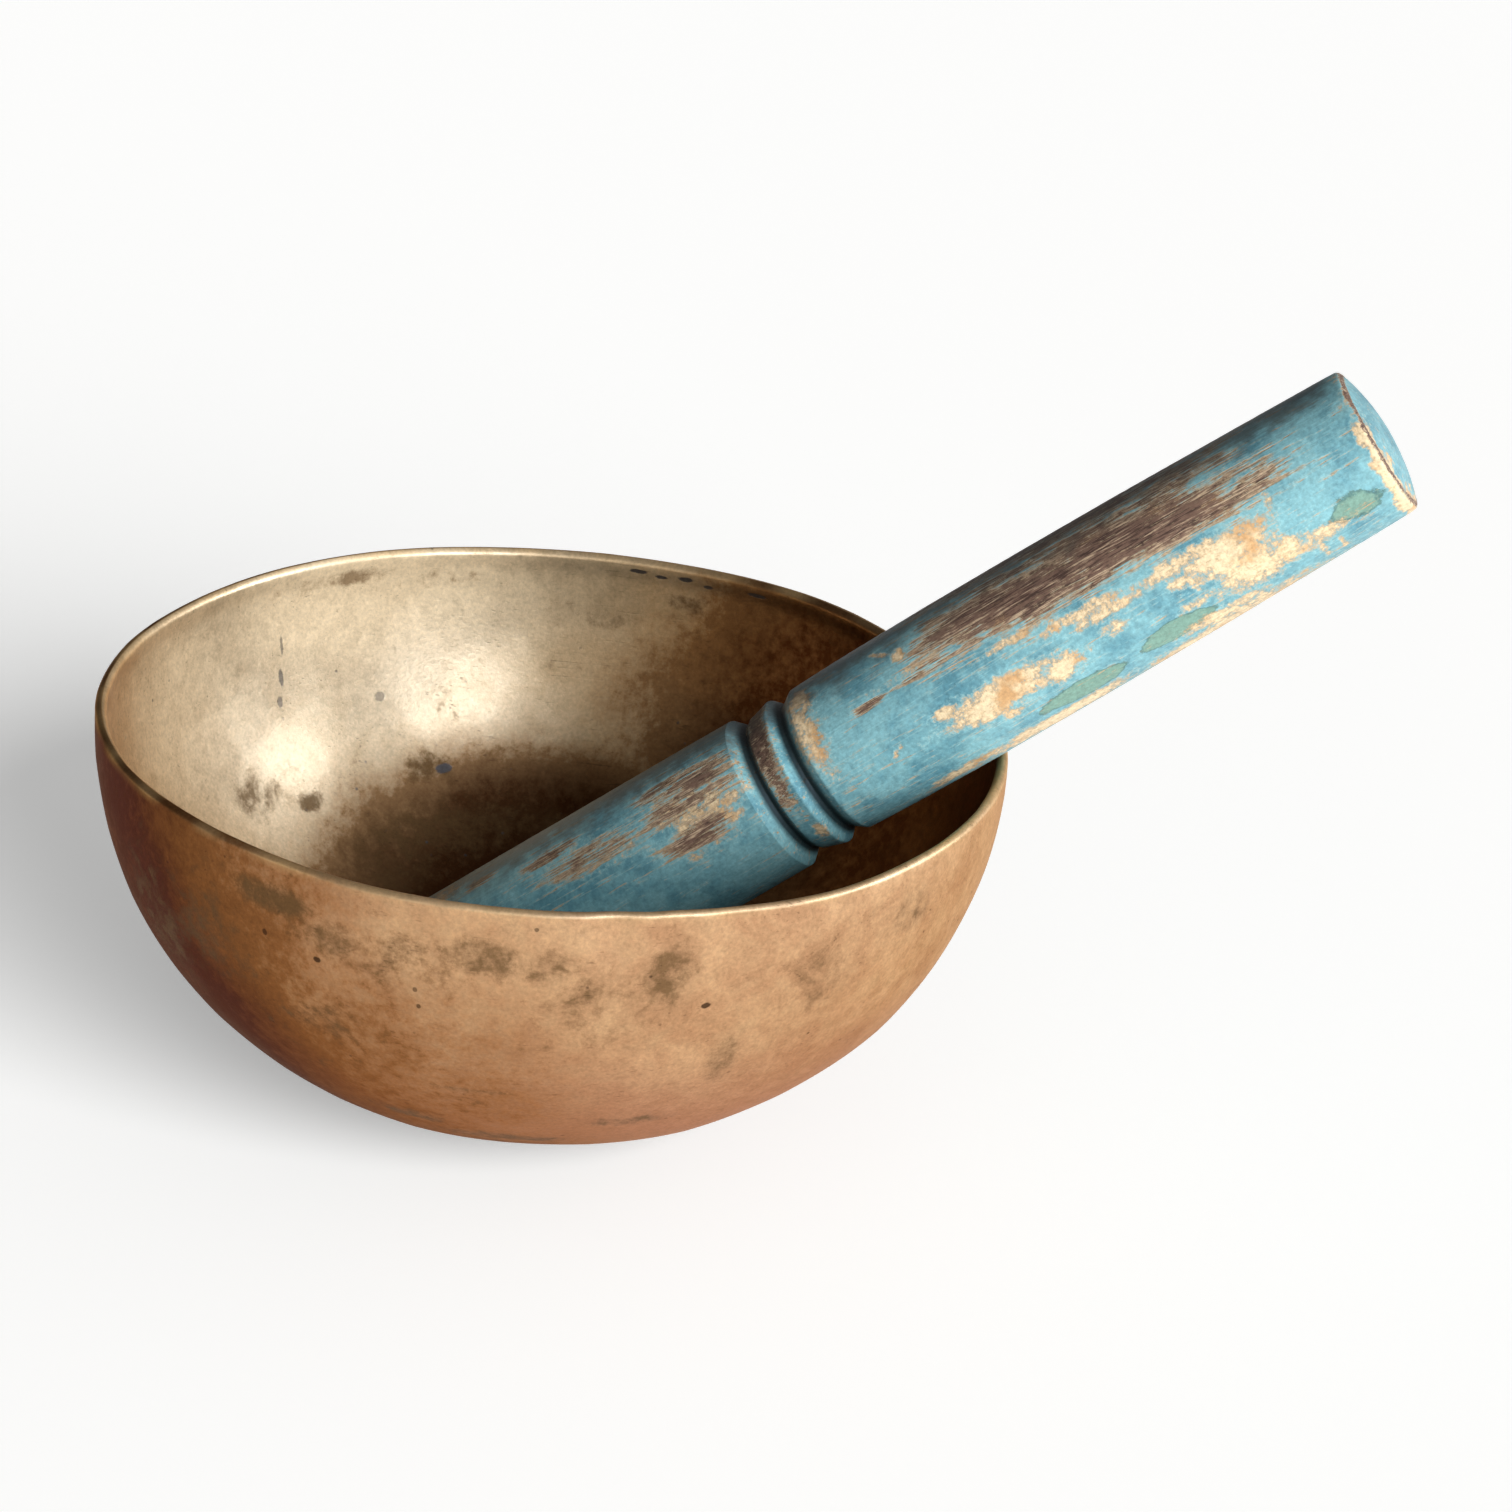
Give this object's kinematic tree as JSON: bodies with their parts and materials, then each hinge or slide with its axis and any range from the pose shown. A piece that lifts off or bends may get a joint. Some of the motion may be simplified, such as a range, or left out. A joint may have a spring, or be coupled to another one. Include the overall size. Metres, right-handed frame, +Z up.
{
  "type": "singing bowl",
  "caption": "Round-bottomed hammered bronze singing bowl with a turned, painted wooden mallet leaning in it, handle out over the rim.",
  "frame": {"origin": "centre of the flat foot, on the surface that the bowl stands on", "axes": "+Z up along the bowl's axis; the mallet's axis lies in the XZ plane with its handle rising towards +X"},
  "size_m": [0.2354, 0.1682, 0.1519],
  "materials": {
    "bronze": "hand-hammered bronze with an old brown patina, satin inside and on the lip",
    "painted_wood": "turned hardwood in worn turquoise paint over cream, rubbed through to brown wood"
  },
  "bodies": {
    "bowl": {"bowl": "bronze"},
    "mallet": {"mallet": "painted_wood"}
  },
  "joints": [
    {"name": "mallet_lift", "type": "slide", "parent": "bowl", "child": "mallet", "axis": [0.7547, 0, 0.6561], "range_m": [0, 0.16]}
  ]
}
